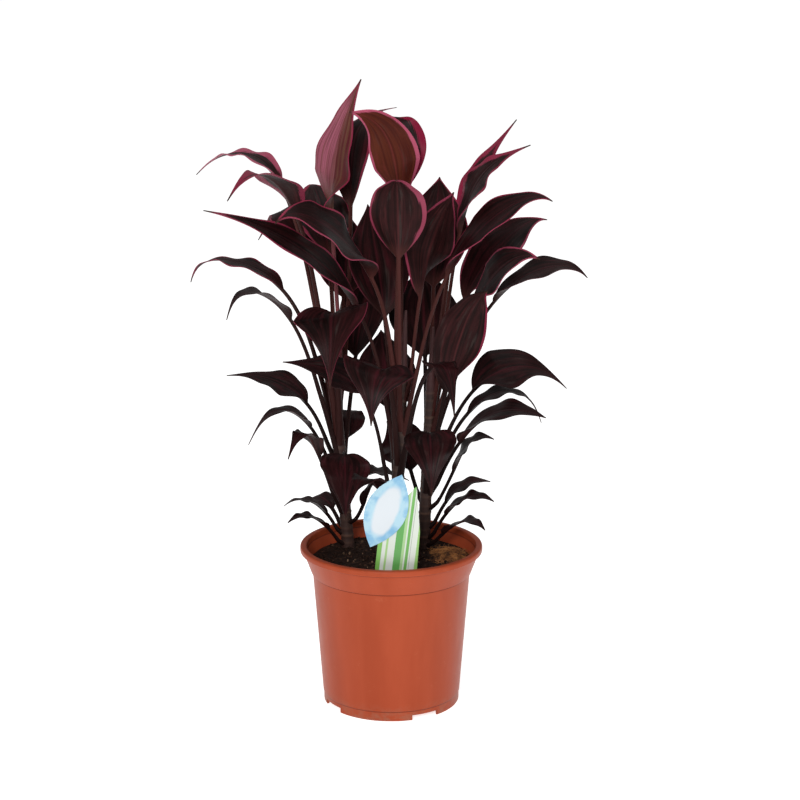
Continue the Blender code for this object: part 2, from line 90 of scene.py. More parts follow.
# Soil
SOIL_TOP = 112 * MM
SOIL_DOME = 2.2 * MM
SOIL_GAP = 0.3 * MM
SOIL_SIDES = 144
SOIL_RINGS = 44
SOIL_BUMPS = ((0.11, 95, 1.3), (0.23, 330, 0.8), (0.37, 900, 0.45))  # noise layer, fineness, height in mm
CRUMBS = 620
CRUMB_SIZES = (0.45, 0.6, 0.8, 1.1, 1.5)
CRUMB_STRETCH = ((0.7, 1.5), (0.6, 1.1), (0.5, 0.9))  # least and most along x, y and z
PEAT = (colour(0.006, 0.0026, 0.0016), colour(0.028, 0.012, 0.0075))
PEAT_FLECK = colour(0.060, 0.028, 0.017)
PEAT_CHIP = colour(0.20, 0.12, 0.075)

# Coir
COIR_PLACE = (43 * MM, 8 * MM)
COIR_HALF = (14 * MM, 20 * MM)
COIR_HEIGHT = 4.6 * MM
FIBRES = 260
FIBRE_POINTS = 7
FIBRE_STEP = 1.7 * MM
FIBRE_RADIUS = 0.14 * MM
COIR = (colour(0.085, 0.026, 0.0090), colour(0.42, 0.175, 0.056))
COIR_SOILED = colour(0.026, 0.011, 0.007)

# Label
CARD_Y = -53 * MM
CARD_THICK = 0.6 * MM
CARD_CORNER = 2 * MM
CARD_EDGE = 0.12 * MM
CARD_OUTLINE = [
    (-6, 72), (8, 72), (18, 104), (21.5, 150), (19, 186), (4, 168), (-9, 148), (-12, 122), (-11, 104)
]
HEAD_CENTRE = (-3.6, 166.8)
HEAD_LENGTH = 60.5
HEAD_WIDTH = 31
HEAD_LEAN = 23
HEAD_STEPS = 40
OVAL_HALF = (9 * MM, 20 * MM)
HEAD_BLUE = (colour(0.16, 0.36, 0.54), colour(0.34, 0.52, 0.61))
HEAD_WHITE = colour(0.54, 0.58, 0.61)
PAPER = colour(0.55, 0.59, 0.53)
SMUDGE = colour(0.4, 0.42, 0.34)
STRIPE_REPEAT = 40 * MM
STRIPE_LEAN = 3.1  # stripes passed by a metre of height
STRIPE_SHIFT = 0.86
STRIPES = (  # where each starts, as a share of the repeat
    (0.0, PAPER), (0.14, colour(0.14, 0.37, 0.05)), (0.26, PAPER), (0.33, colour(0.27, 0.47, 0.16)),
    (0.37, PAPER), (0.5, colour(0.065, 0.29, 0.045)), (0.63, colour(0.29, 0.48, 0.21)), (0.68, PAPER),
    (0.71, colour(0.10, 0.33, 0.05)), (0.765, PAPER), (0.79, colour(0.20, 0.22, 0.19)), (0.80, PAPER),
    (0.9, colour(0.21, 0.43, 0.10)),
)

# Canes: foot on the soil, where the leaves end, radius at the foot and at the top, all in mm
Cane = namedtuple("Cane", "foot top foot_radius top_radius")
CANES = {
    "left": Cane((-34, 30, 112), (-42, 20, 236), 5.0, 3.6),
    "centre": Cane((2, -20, 112), (9, -8, 262), 5.5, 3.6),
    "right": Cane((25, 26, 112), (30, 16, 246), 5.0, 3.6),
}
CANE_DEPTH = 20
CANE_SIDES = 24
CANE_RING = 1.5  # between rings
SCAR_PITCH = 6.5  # between leaf scars
SCAR_RIDGE = 0.09  # how far a scar stands out, as a share of the radius
SPEAR = 46  # length of the furled leaf at the top
SPEAR_TIP = 0.9
SPEAR_EASE = 0.8
SPEAR_BLUSH = 10  # length over which bark turns to furled leaf
SCAR_SHAPE = 6  # the higher, the narrower the ridge
SCAR_TINT = 8
BARK = (colour(0.016, 0.0065, 0.005), colour(0.050, 0.020, 0.014))
BARK_SCAR = colour(0.085, 0.040, 0.026)
FURLED = colour(0.045, 0.011, 0.011)

# Leaves: rise, dive and roll in degrees, foot, tip and width in mm, the rest shares of the leaf
Leaf = namedtuple("Leaf", "name cane foot tip rise lift dive run width stalk roll pull", defaults=[1])
LEAVES = [Leaf(*row) for row in (
    ("left_01", "left", 116, (-80, 8, 139), 62, .50, 40, .36, 20, .25, 0),
    ("left_02", "left", 124, (-84, 26, 147), 70, .58, 45, .36, 22, .25, 8),
    ("left_03", "left", 128, (-66, 60, 142), 62, .58, 45, .36, 20, .28, -6),
    ("left_04", "left", 134, (-5, 12, 172), 52, .50, 12, .36, 18, .28, 0),
    ("left_05", "left", 152, (-34, -40, 156), 84, 1.0, 84, .70, 40, .52, -16, 2),
    ("left_06", "left", 142, (-78, -12, 195), 70, .90, 66, .45, 26, .26, 0, 2),
    ("left_07", "left", 160, (14, 40, 164), 62, .50, 28, .36, 28, .30, 0),
    ("left_08", "left", 166, (-109, 5, 202), 74, .74, 64, .52, 28, .24, 0, 3),
    ("left_09", "left", 176, (-128, 46, 247), 76, .54, 8, .27, 34, .28, -14, 3),
    ("left_10", "left", 188, (-122, -16, 303), 78, .87, 74, .22, 34, .28, 0, 4),
    ("left_11", "left", 194, (-158, 82, 314), 80, .80, 74, .16, 30, .28, 0, 4),
    ("left_12", "left", 198, (-44, -64, 262), 82, 1.1, 84, .62, 58, .54, 15, 3),
    ("left_13", "left", 208, (-105, 92, 346), 78, .86, 50, .42, 44, .36, -15, 2),
    ("left_14", "left", 223, (-149, 56, 402), 82, .98, 46, .14, 38, .28, 0, 4),
    ("left_15", "left", 206, (-117, -48, 396), 83, .91, 52, .16, 42, .28, 2, 4),
    ("left_16", "left", 232, (-64, 98, 389), 88, .68, 12, .11, 46, .30, 0, 3),
    ("left_17", "left", 234, (-22, 8, 478), 92, .60, -62, .36, 44, .44, 70),
    ("left_18", "left", 227, (4, 90, 450), 80, .80, 0, .40, 36, .38, -10),
    ("left_19", "left", 215, (-31, 74, 366), 84, .62, -50, .20, 46, .44, 0),
    ("left_20", "left", 190, (-12, 60, 332), 82, .60, -60, .20, 44, .36, 0),
    ("left_21", "left", 172, (-30, 66, 214), 74, .60, 20, .36, 28, .34, 0),
    ("centre_01", "centre", 150, (-26, -66, 184), 72, .58, 62, .36, 28, .30, 0),
    ("centre_02", "centre", 158, (-80, -28, 274), 86, .71, -5, .18, 44, .26, -24, 3),
    ("centre_03", "centre", 192, (-14, -88, 240), 83, .94, 84, .60, 54, .50, -14, 2.5),
    ("centre_04", "centre", 196, (-135, -38, 388), 86, .55, -12, .20, 46, .26, -20, 3),
    ("centre_05", "centre", 224, (-82, -62, 382), 89, .63, 42, .13, 62, .26, -30, 4),
    ("centre_06", "centre", 240, (46, -14, 398), 86, .62, -60, .20, 46, .34, -50),
    ("centre_07", "centre", 214, (117, -34, 394), 83, .66, 32, .10, 46, .26, 24, 3),
    ("centre_08", "centre", 218, (4, -70, 414), 82, .40, -6, .18, 42, .54, 0),
    ("centre_09", "centre", 244, (6, 24, 447), 84, .70, 55, .08, 40, .42, 0, 1.5),
    ("centre_10", "centre", 252, (-30, -12, 456), 90, .62, -8, .24, 42, .40, -60),
    ("centre_11", "centre", 196, (-18, 50, 380), 80, .60, -60, .20, 48, .40, 0),
    ("centre_12", "centre", 182, (46, -78, 244), 79, .98, 82, .56, 29, .50, -10, 2.5),
    ("centre_13", "centre", 168, (-8, 42, 284), 74, .60, -60, .20, 46, .36, 0),
    ("right_01", "right", 116, (72, -5, 137), 50, .50, 45, .36, 24, .22, 0),
    ("right_02", "right", 122, (79, 5, 157), 68, .50, 30, .36, 24, .28, 6),
    ("right_03", "right", 130, (77, 26, 167), 70, .50, 15, .36, 22, .30, 6),
    ("right_04", "right", 160, (30, -54, 178), 80, .92, 84, .66, 40, .52, 4, 2),
    ("right_05", "right", 146, (79, 14, 204), 58, .50, 25, .36, 26, .34, 8),
    ("right_06", "right", 158, (116, -18, 229), 70, .56, 18, .36, 42, .30, 12),
    ("right_07", "right", 166, (117, 42, 210), 74, .74, 73, .43, 24, .28, 4, 2),
    ("right_08", "right", 176, (136, 40, 238), 73, .64, 46, .32, 50, .26, 26, 3),
    ("right_09", "right", 184, (70, -46, 330), 74, .47, -24, .20, 37, .30, -38),
    ("right_10", "right", 193, (146, -6, 333), 77, .76, 50, .12, 42, .30, 14, 3),
    ("right_11", "right", 206, (110, -12, 348), 78, .68, 24, .12, 50, .26, 30, 3),
    ("right_12", "right", 212, (121, 72, 365), 82, .58, 14, .12, 40, .26, 30, 3),
    ("right_13", "right", 222, (103, 8, 430), 85, .76, -22, .16, 44, .26, 22, 3),
    ("right_14", "right", 229, (98, 106, 439), 82, .68, -33, .20, 18, .30, 6, 3),
    ("right_15", "right", 242, (37, 58, 400), 86, .60, -60, .20, 52, .34, 0),
    ("right_16", "right", 184, (24, 84, 326), 80, .60, -60, .20, 56, .38, 0),
    ("right_17", "right", 150, (-4, 62, 206), 60, .50, -10, .30, 38, .28, -50),
)]
STALK_HALF = 1.35
STALK_FOOT_HALF = 2.0
SHEATH_HALF = 3.6  # where the stalk clasps the cane
SHEATH_SHARE = 0.11
SHEATH_SINK = 2.2  # how far the clasping foot reaches into the bark
TIP_HALF = 0.35
BLADE_RISE = 0.8
BLADE_FALL = 1.35
T_STEP = 0.001
FOLD_AT_STALK = 36
FOLD_AT_TIP = 5
FOLD_EASE = 7
ROLL_IN = 3
GUTTER = 1.2  # radius of the fold along the midrib
STALK_THICK = 1.9
BLADE_THICK = 0.5
RIB_THICK = 1.3
RIB_HALF = 1.1
LENGTHWAYS = 84
ACROSS = 18
SIDE_EASE = 1.25  # crowds the grid towards the midrib
WAVE = 1.5  # height of the waves in the margin
WAVES = (1.6, 3.2)  # fewest and most along a blade
WAVE_EASE = 2.2  # the higher, the nearer the waves keep to the margin
WAVE_HALF = 12  # half width of blade from which they are full
CALM_TIP = 1.04
RIPPLE = 0.28  # height of the long pleats beside the midrib
RIPPLE_HALF = 14
PLEATS = 4  # on each half of a blade
GUTTER_HALF = 6
TONES = 40
RIB_PAINT = 0.9  # half width of the rib's colour
DRY_FROM = 0.965  # share of the blade where the dry tip starts
DRY_OVER = 0.02
YOUNG_FROM = 184  # leaves that leave the cane above this height start to show a coloured margin
YOUNG_OVER = 34  # and over this much more height it is full
MARGIN = 1.1  # width in mm of a full margin
# Margins that the young leaves show: width in mm on either side, and how far the crimson has paled to pink
MARGINS = {
    "left_11": (1.2, 1.6, 0.1),
    "left_14": (9.0, 4.0, 0.9),
    "left_15": (13.0, 4.0, 0.1),
    "left_16": (1.6, 2.2, 0.2),
    "left_18": (1.6, 1.6, 0.2),
    "centre_04": (1.5, 1.5, 0.3),
    "centre_05": (1.6, 1.2, 0.3),
    "centre_06": (2.0, 1.4, 0.2),
    "centre_08": (2.0, 3.2, 0.3),
    "centre_09": (5.0, 2.0, 0.0),
    "centre_10": (2.2, 1.4, 0.8),
    "right_09": (0.0, 1.2, 0.0),
    "right_11": (1.4, 1.6, 0.5),
    "right_12": (1.2, 1.6, 0.5),
    "right_13": (2.6, 4.2, 0.2),
    "right_14": (3.0, 3.4, 0.1),
}
YOUNG = ("left_14", "left_17", "left_18", "centre_08", "centre_09", "centre_10", "right_13", "right_14")
RED_LEAVES = ("centre_10",)
PALE_LEAVES = ("left_17",)

# How often each streak changes along and across a leaf, and its detail
BROAD = (2.2, 15.0, 3.0)
VEINS = (3.0, 74.0, 2.0)
WINE = (4.2, 8.0, 3.0)
GREY = (4.6, 10.0, 4.0)
SWELLS = (3.4, 1.2, 2.0)
GREY_SHIFT = 7.0
# painted sheen: grey glints streaked along the leaves
PAINTED_SHEEN = colour(0.040, 0.030, 0.027)
DRY_TIP = colour(0.03, 0.016, 0.011)
LEAF_SHINE = 0.06
# Skins of the upper face and the underside: pairs go from old to young, the far colour is that of one half
Skin = namedtuple("Skin", "dark light margins rib stalks roughness far", defaults=[None])
MARGIN_PAIR = (colour(0.17, 0.006, 0.027), colour(0.36, 0.07, 0.12))
UNDER_MARGIN_PAIR = (colour(0.15, 0.012, 0.032), colour(0.30, 0.08, 0.12))
STALK_PAIR = (colour(0.012, 0.0052, 0.0048), colour(0.050, 0.0145, 0.0125))
PALE_STALK_PAIR = (colour(0.10, 0.03, 0.03), colour(0.14, 0.04, 0.045))
SKINS = {
    "dark": (
        Skin(
            colour(0.0050, 0.0020, 0.0019), colour(0.023, 0.0052, 0.0058), MARGIN_PAIR,
            colour(0.05, 0.007, 0.011), STALK_PAIR, 0.38,
        ),
        Skin(
            colour(0.0085, 0.0033, 0.0031), colour(0.026, 0.0070, 0.0075), UNDER_MARGIN_PAIR,
            colour(0.055, 0.013, 0.014), STALK_PAIR, 0.48,
        ),
    ),
    "red": (
        Skin(
            colour(0.050, 0.0085, 0.0055), colour(0.085, 0.018, 0.009), MARGIN_PAIR,
            colour(0.13, 0.022, 0.02), STALK_PAIR, 0.4,
        ),
        Skin(
            colour(0.055, 0.0105, 0.007), colour(0.10, 0.023, 0.011), UNDER_MARGIN_PAIR,
            colour(0.26, 0.07, 0.06), STALK_PAIR, 0.46,
        ),
    ),
    "pale": (
        Skin(
            colour(0.080, 0.010, 0.015), colour(0.12, 0.048, 0.028), MARGIN_PAIR,
            colour(0.16, 0.05, 0.045), PALE_STALK_PAIR, 0.42, colour(0.33, 0.095, 0.14),
        ),
        Skin(
            colour(0.085, 0.014, 0.019), colour(0.13, 0.055, 0.034), MARGIN_PAIR,
            colour(0.16, 0.06, 0.045), PALE_STALK_PAIR, 0.5, colour(0.35, 0.11, 0.155),
        ),
    ),
}

# Stage: name, place, aim, size and watts of each light
LIGHTS = (
    ("front_soft", (-0.4, -2.4, 1.3), (0, 0, 0.25), 0.7, 42),
    ("side_soft", (1.9, -1.3, 1.3), (0, 0, 0.25), 0.8, 6),
    ("top_soft", (0, 0.4, 2.6), (0, 0, 0.2), 1.4, 12),
)
FLOOR_SIZE = 60
FLOOR_GLOW = 0.7
WORLD_GLOW = 0.36
CAMERA_PLACE = (0.0067, -1.5, 0.597)
CAMERA_PITCH = -13.45
LENS = 91.8
SENSOR = 36


def clamped(value):
    return max(0, min(1, value))


def deselect():
    bpy.ops.object.select_all(action="DESELECT")


def named(name):
    """Names the primitive that was just added."""
    piece = bpy.context.object
    piece.name = name
    piece.data.name = name
    return piece


def only(piece):
    """Makes a piece the only one that operators act on."""
    deselect()
    piece.select_set(True)
    bpy.context.view_layer.objects.active = piece


def apply_modifiers(piece):
    only(piece)
    for modifier in list(piece.modifiers):
        bpy.ops.object.modifier_apply(modifier=modifier.name)


def join(pieces, name):
    """Joins several objects into one."""
    deselect()
    for piece in pieces:
        piece.select_set(True)
    bpy.context.view_layer.objects.active = pieces[0]
    bpy.ops.object.join()
    return named(name)


def give(piece, slot, *nodes):
    """Puts a finished piece's place in its mesh and hands it to the frame."""
    only(piece)
    bpy.ops.object.transform_apply(location=True, rotation=True, scale=True)
    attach(piece, BODY)
    if nodes:
        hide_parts(*nodes)
    return piece


def smooth(piece, degrees=35):
    only(piece)
    bpy.ops.object.shade_smooth_by_angle(angle=math.radians(degrees))


def paint(piece, *finishes):
    piece.data.materials.clear()
    for finish in finishes:
        piece.data.materials.append(finish)


# Materials


def put(tree, kind, *values, options=None, **sockets):
    """Adds a shader node: values fill its sockets in order, sockets by name, with _ for a space."""
    node = tree.nodes.new("ShaderNode" + kind)
    for option, value in (options or {}).items():
        setattr(node, option, value)
    named_sockets = [(name.replace("_", " "), value) for name, value in sockets.items()]
    for key, value in list(enumerate(values)) + named_sockets:
        if isinstance(value, bpy.types.NodeSocket):
            tree.links.new(value, node.inputs[key])
        else:
            node.inputs[key].default_value = value
    return node


def blend(tree, share, first, second):
    """Colour between two, by share."""
    node = tree.nodes.new("ShaderNodeMix")
    node.data_type = "RGBA"
    for index, value in ((0, share), (6, first), (7, second)):
        if isinstance(value, bpy.types.NodeSocket):
            tree.links.new(value, node.inputs[index])
        else:
            node.inputs[index].default_value = value
    return node.outputs[2]


def maths(tree, operation, *values, clamp=False):
    return put(tree, "Math", *values, options={"operation": operation, "use_clamp": clamp}).outputs[0]


def times(tree, first, second):
    return maths(tree, "MULTIPLY", first, second)


def plus(tree, first, second):
    return maths(tree, "ADD", first, second)


def minus(tree, first, second):
    return maths(tree, "SUBTRACT", first, second)


def fade(tree, value, low, high):
    """0 at low and 1 at high, eased."""
    node = put(tree, "MapRange", value, low, high, options={"interpolation_type": "SMOOTHSTEP"})
    return node.outputs[0]


def own_place(tree):
    """Where a point lies, in the object's own coordinates."""
    return put(tree, "TexCoord").outputs["Object"]


def speckle(tree, place, scale, detail, roughness=0.5):
    """Noise by place."""
    return put(tree, "TexNoise", Vector=place, Scale=scale, Detail=detail, Roughness=roughness).outputs[0]


def attribute(tree, name):
    return put(tree, "Attribute", options={"attribute_name": name}).outputs["Fac"]


def new_finish(name, roughness, specular=0.5):
    """A material with its node tree and its Principled shader."""
    finish = bpy.data.materials.new(name)
    finish.use_nodes = True
    tree = finish.node_tree
    shader = tree.nodes["Principled BSDF"]
    shader.inputs["Roughness"].default_value = roughness
    shader.inputs["Specular IOR Level"].default_value = specular
    return finish, tree, shader


def raise_surface(tree, shader, height, depth, strength=1.0):
    """Bump of a depth in metres."""
    bump = put(tree, "Bump", Strength=strength, Distance=depth, Height=height)
    tree.links.new(bump.outputs["Normal"], shader.inputs["Normal"])


def lanes(tree, along, across, tone, long, wide, detail):
    """Noise drawn out along the leaf: long and wide say how often it changes along and across it."""
    place = put(tree, "CombineXYZ", times(tree, along, long), times(tree, across, wide), tone).outputs[0]
    return speckle(tree, place, 1.0, detail, 0.6)


def leaf_skin(name, look):
    """A leaf's skin: streaks, a painted grey sheen and fine veins along the blade, a coloured margin, rib
    and stalk.

    The margin goes from its first colour to its second as it pales, and the stalk as it gets younger.
    With a far colour the skin turns to it in ragged streaks over one half of the blade.
    """
    finish, tree, shader = new_finish(name, look.roughness, LEAF_SHINE)
    along, across, _ = put(tree, "SeparateXYZ", put(tree, "TexCoord").outputs["UV"]).outputs
    tone = attribute(tree, "tone")
    broad = lanes(tree, along, across, tone, *BROAD)
    fine = lanes(tree, along, across, tone, *VEINS)
    patch = speckle(tree, own_place(tree), 38.0, 3.0)
    shade = fade(tree, plus(tree, broad, times(tree, patch, 0.5)), 0.55, 0.95)
    skin = blend(tree, shade, look.dark, look.light)
    wine = fade(tree, lanes(tree, along, across, tone, *WINE), 0.54, 0.70)
    skin = blend(tree, times(tree, wine, 0.55), skin, look.rib)
    # painted sheen: grey streaks along the blade
    grey = fade(tree, lanes(tree, along, across, plus(tree, tone, GREY_SHIFT), *GREY), 0.56, 0.72)
    skin = blend(tree, times(tree, grey, 0.5), skin, PAINTED_SHEEN)
    if look.far:
        ragged = plus(tree, across, times(tree, minus(tree, broad, 0.5), 1.5))
        middle = times(tree, fade(tree, along, 0.50, 0.68), fade(tree, along, 1.0, 0.88))
        veined = blend(tree, times(tree, fade(tree, fine, 0.40, 0.62), 0.65), look.far, skin)
        skin = blend(tree, times(tree, fade(tree, ragged, 0.42, 0.68), middle), skin, veined)
    skin = blend(tree, fade(tree, fine, 0.58, 0.75), skin, blend(tree, 0.4, skin, look.light))
    margin = attribute(tree, "margin")
    swell = fade(tree, lanes(tree, along, across, tone, *SWELLS), 0.25, 0.7)
    reach = times(tree, margin, plus(tree, times(tree, swell, 1.1), 0.45))
    comb = times(tree, minus(tree, fine, 0.5), times(tree, margin, 1.6))
    inside = minus(tree, reach, plus(tree, attribute(tree, "from_edge"), comb))
    edge = times(tree, fade(tree, inside, -0.25, 0.45), fade(tree, margin, 0.05, 0.8))
    paled = maths(tree, "MULTIPLY", attribute(tree, "blush"), plus(tree, swell, 0.5), clamp=True)
    skin = blend(tree, edge, skin, blend(tree, paled, *look.margins))
    skin = blend(tree, attribute(tree, "rib"), skin, look.rib)
    skin = blend(tree, attribute(tree, "stalk"), skin, blend(tree, attribute(tree, "young"), *look.stalks))
    skin = blend(tree, attribute(tree, "dry"), skin, DRY_TIP)
    tree.links.new(skin, shader.inputs["Base Color"])
    rough = plus(tree, times(tree, broad, 0.16), look.roughness - 0.08)
    tree.links.new(rough, shader.inputs["Roughness"])
    raise_surface(tree, shader, plus(tree, fine, times(tree, broad, 1.5)), 0.12 * MM, 0.6)
    return finish


def leaf_skins():
    """The finishes by kind: the upper face's, and then the underside's."""
    return {
        kind: [leaf_skin(f"leaf_{kind}{part}", look) for part, look in zip(("", "_under"), looks)]
        for kind, looks in SKINS.items()
    }


def pot_plastic():
    """Terracotta-coloured plastic: streaks, fine grain, scuffs, painted shade under each step and a dusty
    foot.
    """
    finish, tree, shader = new_finish("pot_plastic", 0.42, 0.12)
    place = own_place(tree)
    tall = put(tree, "Mapping", Vector=place, Scale=(1.0, 1.0, 0.16)).outputs[0]
    flow = speckle(tree, tall, 42.0, 4.0, 0.55)
    grain = speckle(tree, place, 1900.0, 2.0)
    scuff = speckle(tree, place, 95.0, 7.0, 0.75)
    height = put(tree, "SeparateXYZ", place).outputs["Z"]
    skin = blend(tree, fade(tree, flow, 0.3, 0.7), *PLASTIC)
    skin = blend(tree, times(tree, fade(tree, scuff, 0.60, 0.72), 0.35), skin, SCUFF)
    dust = times(tree, fade(tree, height, DUST_HEIGHT, 0.0), fade(tree, scuff, 0.40, 0.62))
    skin = blend(tree, times(tree, dust, 0.5), skin, DUST)
    # painted shade: a dark line just under the band, the lip and the foot band
    for step in (BAND_FOOT, POT_HEIGHT - LIP_HEIGHT, FOOT_BAND):
        below = maths(tree, "ABSOLUTE", minus(tree, height, step - STEP_SHADE_HEIGHT))
        step_shade_line = fade(tree, below, STEP_SHADE_HEIGHT * 1.5, STEP_SHADE_HEIGHT * 0.4)
        skin = blend(tree, times(tree, step_shade_line, 0.75), skin, STEP_SHADE)
    tree.links.new(skin, shader.inputs["Base Color"])
    rough = plus(tree, times(tree, scuff, 0.22), 0.30)
    tree.links.new(rough, shader.inputs["Roughness"])
    raise_surface(tree, shader, plus(tree, grain, times(tree, flow, 3.0)), 0.05 * MM, 0.5)
    return finish


def peat():
    """Damp peat: black-brown, with paler flecks."""
    finish, tree, shader = new_finish("peat", 0.9, 0.12)
    place = own_place(tree)
    lump = speckle(tree, place, 420.0, 6.0, 0.7)
    fleck = put(tree, "TexVoronoi", Vector=place, Scale=520.0).outputs["Color"]
    tone = attribute(tree, "tone")
    skin = blend(tree, fade(tree, lump, 0.35, 0.7), *PEAT)
    skin = blend(tree, fade(tree, fleck, 0.72, 0.9), skin, PEAT_FLECK)
    skin = blend(tree, fade(tree, tone, 0.75, 1.0), skin, PEAT_CHIP)
    tree.links.new(skin, shader.inputs["Base Color"])
    raise_surface(tree, shader, lump, 0.8 * MM, 0.9)
    return finish


def coir_fibre():
    """Dry tan fibre, from straw to rust."""
    finish, tree, shader = new_finish("coir_fibre", 0.85, 0.25)
    place = own_place(tree)
    wool = speckle(tree, place, 260.0, 5.0, 0.7)
    broad = speckle(tree, place, 70.0, 2.0)
    mixed = plus(tree, times(tree, wool, 0.5), times(tree, broad, 0.5))
    skin = blend(tree, fade(tree, mixed, 0.35, 0.62), *COIR)
    soiled = speckle(tree, place, 150.0, 4.0, 0.7)
    skin = blend(tree, times(tree, fade(tree, soiled, 0.50, 0.60), 0.85), skin, COIR_SOILED)
    tree.links.new(skin, shader.inputs["Base Color"])
    raise_surface(tree, shader, wool, 0.7 * MM, 0.9)
    return finish


def cane_bark():
    """Brown bark with pale leaf scars, reddening towards the furled leaf."""
    finish, tree, shader = new_finish("cane_bark", 0.65, 0.4)
    place = own_place(tree)
    tall = put(tree, "Mapping", Vector=place, Scale=(1, 1, 0.3)).outputs[0]
    grain = speckle(tree, tall, 520.0, 4.0)
    skin = blend(tree, grain, *BARK)
    skin = blend(tree, attribute(tree, "scar"), skin, BARK_SCAR)
    skin = blend(tree, attribute(tree, "spear"), skin, FURLED)
    tree.links.new(skin, shader.inputs["Base Color"])
    raise_surface(tree, shader, grain, 0.3 * MM, 0.7)
    return finish


def striped_card():
    """White card printed with slanting green stripes and thin grey lines."""
    finish, tree, shader = new_finish("striped_card", 0.35, 0.5)
    x, _, z = put(tree, "SeparateXYZ", own_place(tree)).outputs
    lean = minus(tree, times(tree, x, 1 / STRIPE_REPEAT), times(tree, z, STRIPE_LEAN))
    lane = maths(tree, "FRACT", plus(tree, lean, STRIPE_SHIFT))
    ramp = put(tree, "ValToRGB", lane)
    ramp.color_ramp.interpolation = "CONSTANT"
    for number, (start, shade) in enumerate(STRIPES):
        stop = ramp.color_ramp.elements[0] if number == 0 else ramp.color_ramp.elements.new(start)
        stop.position = start
        stop.color = shade
    last = ramp.color_ramp.elements[-1]
    last.position = 1.0
    last.color = PAPER
    smudge = put(tree, "TexNoise", Scale=180.0, Detail=4.0).outputs[0]
    skin = blend(tree, times(tree, smudge, 0.12), ramp.outputs[0], SMUDGE)
    tree.links.new(skin, shader.inputs["Base Color"])
    return finish


def oval_head():
    """Pale blue card with a plain white oval in its middle, soft at its edge."""
    finish, tree, shader = new_finish("oval_head", 0.32, 0.5)
    place = own_place(tree)
    x, _, z = put(tree, "SeparateXYZ", place).outputs
    lean = math.radians(HEAD_LEAN)
    right = minus(tree, x, HEAD_CENTRE[0] * MM)
    up = minus(tree, z, HEAD_CENTRE[1] * MM)
    across = minus(tree, times(tree, right, math.cos(lean)), times(tree, up, math.sin(lean)))
    along = plus(tree, times(tree, right, math.sin(lean)), times(tree, up, math.cos(lean)))
    wide, tall = [
        maths(tree, "POWER", maths(tree, "ABSOLUTE", maths(tree, "DIVIDE", way, half)), 2.0)
        for way, half in zip((across, along), OVAL_HALF)
    ]
    cloud = speckle(tree, place, 95.0, 3.0)
    blue = blend(tree, fade(tree, cloud, 0.38, 0.6), *HEAD_BLUE)
    oval = fade(tree, plus(tree, plus(tree, wide, tall), cloud), 1.75, 1.2)
    tree.links.new(blend(tree, oval, blue, HEAD_WHITE), shader.inputs["Base Color"])
    return finish


# Pot


def turned(name, profile, sides):
    """A closed turned body: a filled circle is extruded and sized from ring to ring of (radius, height)."""
    (radius, height), *rings = profile
    deselect()
    bpy.ops.mesh.primitive_circle_add(
        vertices=sides, radius=radius, fill_type="NGON", location=(0, 0, height)
    )
    piece = named(name)
    bpy.ops.object.transform_apply(location=True)
    bpy.ops.object.mode_set(mode="EDIT")
    bpy.ops.mesh.select_all(action="SELECT")
    for ring_radius, ring_height in rings:
        lift = {"value": (0, 0, ring_height - height)}
        bpy.ops.mesh.extrude_region_move(TRANSFORM_OT_translate=lift)
        size = ring_radius / radius
        bpy.ops.transform.resize(value=(size, size, 1), center_override=(0, 0, ring_height))
        radius, height = ring_radius, ring_height
    bpy.ops.mesh.select_all(action="SELECT")
    bpy.ops.mesh.normals_make_consistent(inside=False)
    bpy.ops.object.mode_set(mode="OBJECT")
    return piece


def wall_radius(height):
    return BASE_RADIUS + WALL_FLARE * height


def inner_radius(height):
    if height < BAND_FOOT:
        return wall_radius(height) - WALL
    share = (height - BAND_FOOT) / (POT_HEIGHT - LIP_HEIGHT - BAND_FOOT)
    return wall_radius(BAND_FOOT) - WALL + (BAND_TOP_RADIUS - BAND_FOOT_RADIUS) * min(share, 1)


def cut_out(piece, cutter):
    """Takes a body out of a piece and removes the body."""
    boolean = piece.modifiers.new("cut", "BOOLEAN")
    boolean.operation = "DIFFERENCE"
    boolean.solver = "EXACT"
    boolean.object = cutter
    apply_modifiers(piece)
    bpy.data.objects.remove(cutter)


